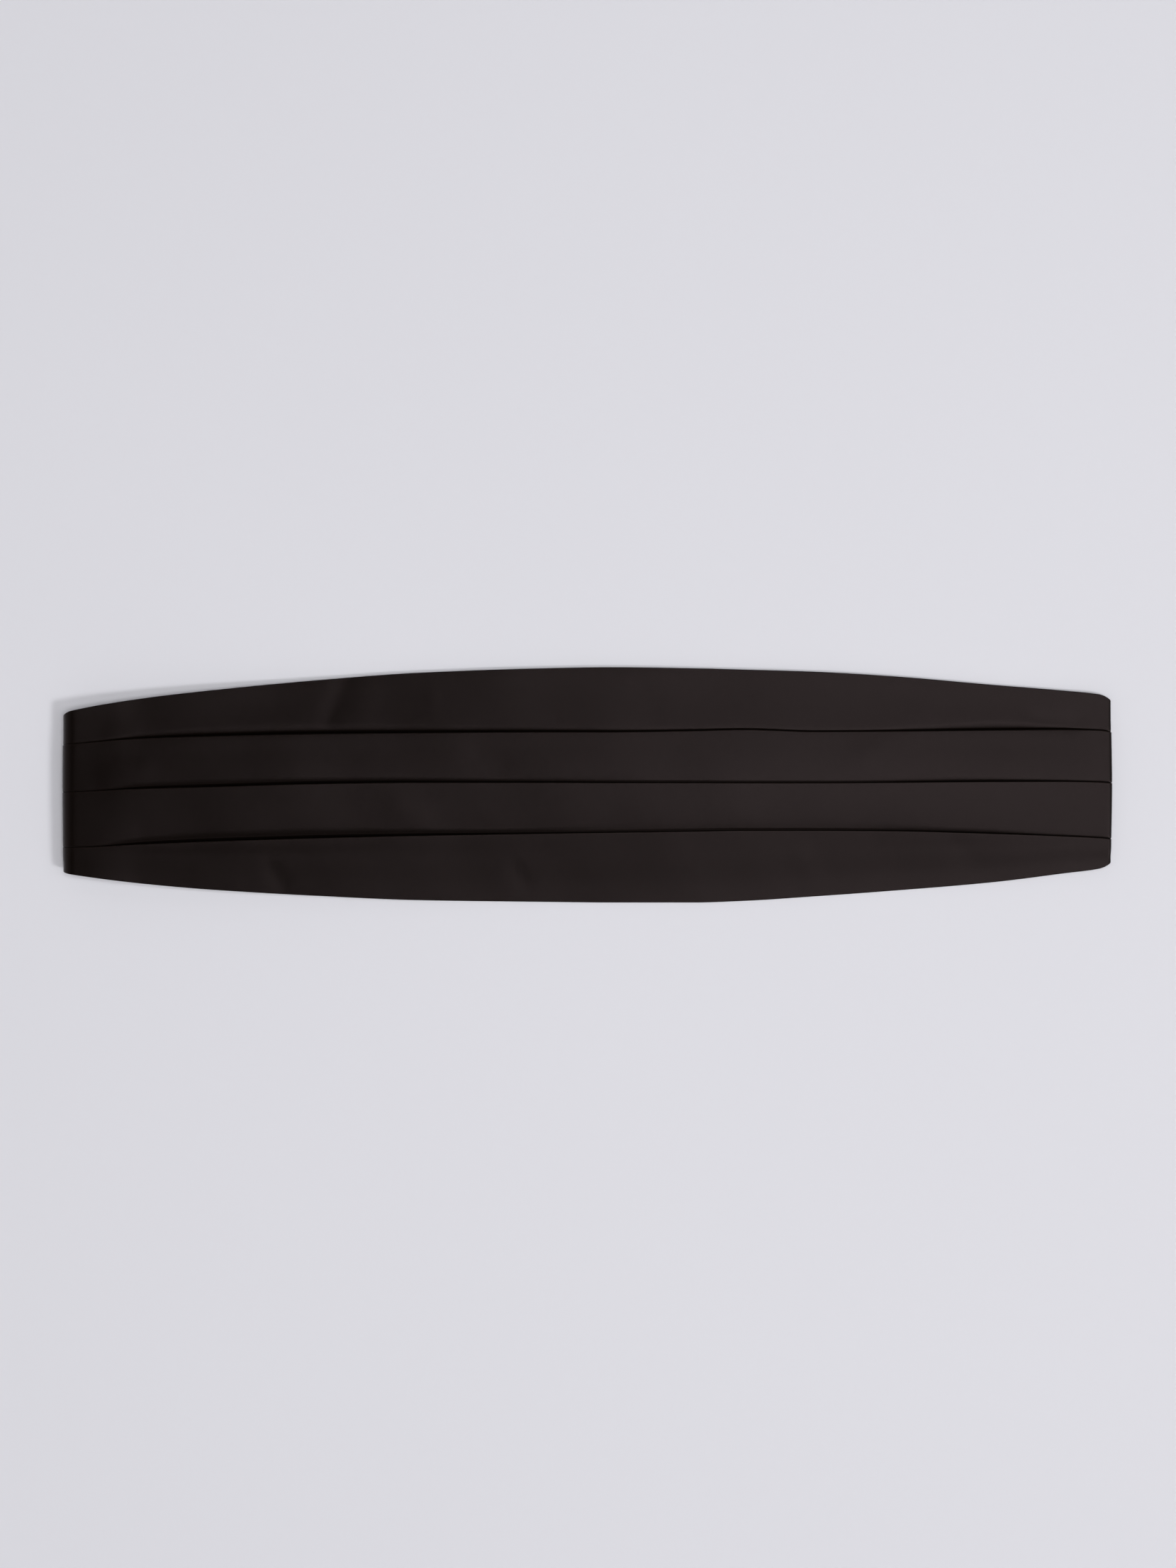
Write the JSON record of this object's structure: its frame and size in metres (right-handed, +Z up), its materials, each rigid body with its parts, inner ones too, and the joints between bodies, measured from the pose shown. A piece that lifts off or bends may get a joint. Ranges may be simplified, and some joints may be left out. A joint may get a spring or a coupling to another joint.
{
  "type": "cummerbund",
  "caption": "Pleated black silk cummerbund with upward-opening knife pleats, an elastic back strap and a flat clasp, laid flat with its ends folded under.",
  "frame": {"origin": "centre of the bounding box on the surface that the garment lies on", "axes": "+X along the waist, towards the wearer's left side, +Y towards the top hem, +Z up out of the garment's face"},
  "size_m": [0.5795, 0.1296, 0.012],
  "materials": {
    "silk": "black silk satin with a low sheen",
    "elastic": "woven black elastic, dull",
    "clasp": "black nickel, satin"
  },
  "bodies": {
    "root": {"pleated_front": "silk", "strap_left": "elastic", "strap_right": "elastic", "clasp_hook": "clasp", "clasp_eye": "clasp"}
  },
  "joints": []
}
